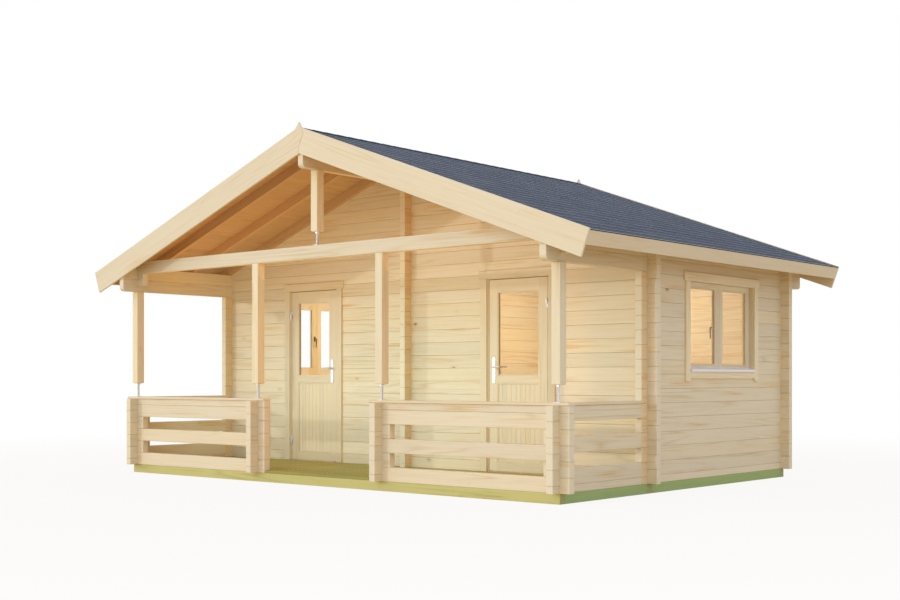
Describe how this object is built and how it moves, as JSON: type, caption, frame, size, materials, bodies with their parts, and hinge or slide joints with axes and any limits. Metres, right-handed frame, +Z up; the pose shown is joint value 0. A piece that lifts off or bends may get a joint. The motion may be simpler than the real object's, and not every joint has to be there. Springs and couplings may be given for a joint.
{
  "type": "log cabin",
  "caption": "Log cabin with interlocking log corners, a covered front terrace with railings and posts, hinged glazed doors, side windows and a low gable roof.",
  "frame": {"origin": "on the ground under the middle of the roof plan", "axes": "+X to the right seen from the front, +Y to the back, +Z up; the terrace faces -Y"},
  "size_m": [6.702, 4.671, 3.4933],
  "materials": {
    "log_wood": "planed",
    "joinery_wood": "planed",
    "roof_wood": "planed",
    "floor_boards": "planed",
    "treated_wood": "sawn",
    "clear_glass": "clear",
    "roof_shingle": "mineral granules",
    "galvanised_steel": "galvanised",
    "handle_metal": "satin",
    "white_sill": "satin"
  },
  "bodies": {
    "cabin": {"door_casings": "joinery_wood", "door_frames": "joinery_wood", "eave_fascias": "joinery_wood", "entry_stacks": "log_wood", "foundation_frame": "treated_wood", "frame_hinges": "galvanised_steel", "front_barge_boards": "joinery_wood", "front_gable": "log_wood", "front_left_railing": "log_wood", "front_right_railing": "log_wood", "front_wall_left": "log_wood", "front_wall_middle": "log_wood", "front_wall_right": "log_wood", "king_post": "log_wood", "left_rafters": "roof_wood", "left_roof_boards": "roof_wood", "left_roofing": "roof_shingle", "left_side_railing": "log_wood", "left_wall": "log_wood", "partition_wall": "log_wood", "porch_posts": "log_wood", "post_feet": "galvanised_steel", "railing_caps": "joinery_wood", "rear_barge_boards": "joinery_wood", "rear_wall": "log_wood", "ridge_beam": "log_wood", "right_rafters": "roof_wood", "right_roof_boards": "roof_wood", "right_roofing": "roof_shingle", "right_side_railing": "log_wood", "right_wall": "log_wood", "room_floors": "floor_boards", "terrace_deck": "treated_wood", "tie_beam": "log_wood", "window_casings": "joinery_wood", "window_frames": "joinery_wood", "window_glass": "clear_glass", "window_sashes": "joinery_wood", "window_sills": "white_sill"},
    "left_door": {"left_door_leaf": "joinery_wood", "left_door_glass": "clear_glass", "left_handle_plates": "handle_metal", "left_leaf_hinges": "galvanised_steel"},
    "right_door": {"right_door_leaf": "joinery_wood", "right_door_glass": "clear_glass", "right_handle_plates": "handle_metal", "right_leaf_hinges": "galvanised_steel"},
    "left_lever": {"left_lever": "handle_metal"},
    "right_lever": {"right_lever": "handle_metal"}
  },
  "joints": [
    {"name": "left_door_hinge", "type": "hinge", "parent": "cabin", "child": "left_door", "pos_m": [-1.798, -0.7855, 1.07], "axis": [0, 0, -1], "range_deg": [0, 110]},
    {"name": "right_door_hinge", "type": "hinge", "parent": "cabin", "child": "right_door", "pos_m": [1.798, -0.7855, 1.07], "axis": [0, 0, 1], "range_deg": [0, 110]},
    {"name": "left_lever_turn", "type": "hinge", "parent": "left_door", "child": "left_lever", "pos_m": [-1.144, -0.7525, 1.155], "axis": [0, -1, 0], "range_deg": [0, 40], "stiffness_Nm_per_rad": 1.2, "springref_deg": -17.19},
    {"name": "right_lever_turn", "type": "hinge", "parent": "right_door", "child": "right_lever", "pos_m": [1.144, -0.7525, 1.155], "axis": [0, 1, 0], "range_deg": [0, 40], "stiffness_Nm_per_rad": 1.2, "springref_deg": -17.19}
  ]
}
